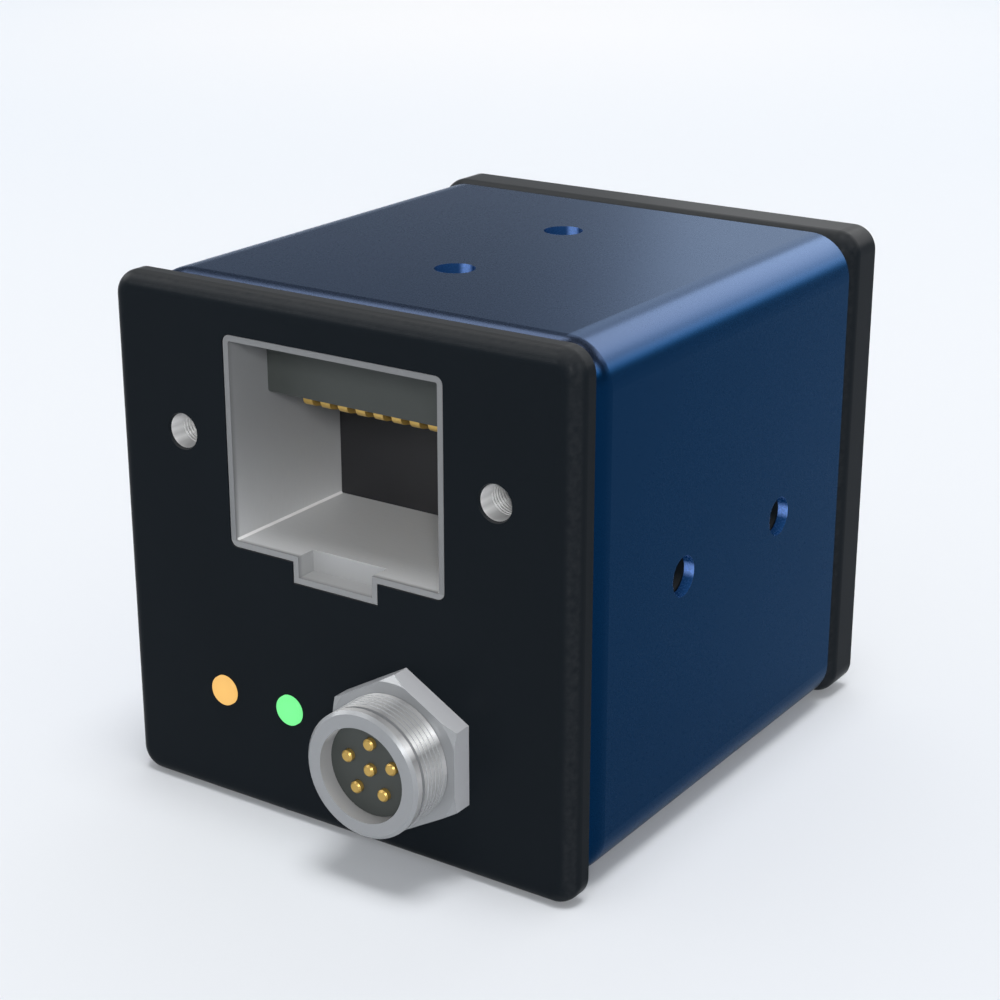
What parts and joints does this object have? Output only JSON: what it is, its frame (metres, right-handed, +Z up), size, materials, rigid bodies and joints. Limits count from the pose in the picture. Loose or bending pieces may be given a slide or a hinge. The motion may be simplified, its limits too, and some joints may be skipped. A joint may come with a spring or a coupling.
{
  "type": "machine vision camera",
  "caption": "Cube-shaped industrial camera with a threaded lens seat in front and a rear plate with a network socket, a round power and trigger connector and status lights.",
  "frame": {"origin": "centre of the lens flange face, on the optical axis", "axes": "+Y along the optical axis out of the lens opening, +Z up, +X to the right as seen from the connector side"},
  "size_m": [0.034, 0.0433, 0.034],
  "materials": {
    "blue_anodised": "satin",
    "black_anodised": "satin",
    "socket_steel": "satin",
    "dark_plastic": "matte",
    "grey_plastic": "satin",
    "gold_plate": "polished",
    "nickel_plate": "polished",
    "screw_steel": "satin",
    "lens_ring_metal": "matte",
    "circuit_board": "satin",
    "chip_body": "satin",
    "sensor_ceramic": "matte",
    "sensor_silicon": "polished",
    "cover_glass": "polished",
    "filter_glass": "polished",
    "seal_rubber": "matte",
    "orange_light": "satin",
    "green_light": "satin",
    "lamp_body": "matte"
  },
  "bodies": {
    "root": {"rear_plate": "black_anodised", "housing_sleeve": "blue_anodised", "inner_chassis": "black_anodised", "front_plate": "black_anodised", "lens_mount_ring": "lens_ring_metal", "tie_screws": "screw_steel", "image_sensor_package": "sensor_ceramic", "image_sensor_die": "sensor_silicon", "sensor_cover_glass": "cover_glass", "filter_holder": "dark_plastic", "filter_glass": "filter_glass", "filter_retainer": "lens_ring_metal", "sensor_board": "circuit_board", "processor_board": "circuit_board", "io_board": "circuit_board", "board_spacers": "nickel_plate", "sensor_link_socket": "dark_plastic", "sensor_link_plug": "dark_plastic", "io_link_socket": "dark_plastic", "io_link_plug": "dark_plastic", "processor_chip": "chip_body", "memory_chip": "chip_body", "network_transformer": "chip_body", "status_leds": "lamp_body", "network_socket_shield": "socket_steel", "network_socket_insulator": "dark_plastic", "network_contact_block": "grey_plastic", "network_contacts": "gold_plate", "connector_shell": "nickel_plate", "connector_nut": "nickel_plate", "connector_gasket": "seal_rubber", "connector_insulator": "grey_plastic", "connector_pins": "gold_plate", "status_light_left": "orange_light", "status_light_right": "green_light", "screw_lock_left": "screw_steel", "screw_lock_right": "screw_steel"}
  },
  "joints": []
}
